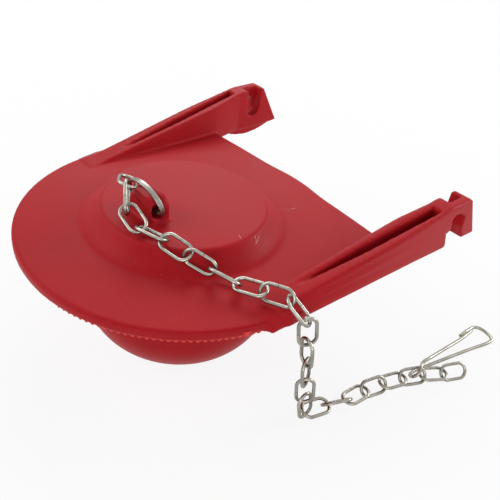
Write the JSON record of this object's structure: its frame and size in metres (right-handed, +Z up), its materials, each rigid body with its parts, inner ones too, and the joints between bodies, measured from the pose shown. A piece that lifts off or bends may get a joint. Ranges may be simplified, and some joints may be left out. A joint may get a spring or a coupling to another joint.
{
  "type": "toilet flapper",
  "caption": "Toilet tank flapper: rubber disc with domed top, hollow air bulb below, two pivot arms with open peg ears, eye lug with ring, steel lift chain and wire clip.",
  "frame": {"origin": "centre of the dome's flat top, on the valve's axis", "axes": "+Z up out of the dome along the valve's axis, +Y towards the arms and the overflow pipe, +X to the side where the chain hangs"},
  "size_m": [0.1136, 0.1189, 0.0503],
  "materials": {
    "red_rubber": "satin",
    "bright_steel": "satin"
  },
  "bodies": {
    "root": {"flapper_body": "red_rubber", "lug_ring": "bright_steel", "clip": "bright_steel", "chain_link_01": "bright_steel", "chain_link_02": "bright_steel", "chain_link_03": "bright_steel", "chain_link_04": "bright_steel", "chain_link_05": "bright_steel", "chain_link_06": "bright_steel", "chain_link_07": "bright_steel", "chain_link_08": "bright_steel", "chain_link_09": "bright_steel", "chain_link_10": "bright_steel", "chain_link_11": "bright_steel", "chain_link_12": "bright_steel", "chain_link_13": "bright_steel", "chain_link_14": "bright_steel", "chain_link_15": "bright_steel", "chain_link_16": "bright_steel", "chain_link_17": "bright_steel", "chain_link_18": "bright_steel", "chain_link_19": "bright_steel", "chain_link_20": "bright_steel", "chain_link_21": "bright_steel", "chain_link_22": "bright_steel", "chain_link_23": "bright_steel"}
  },
  "joints": []
}
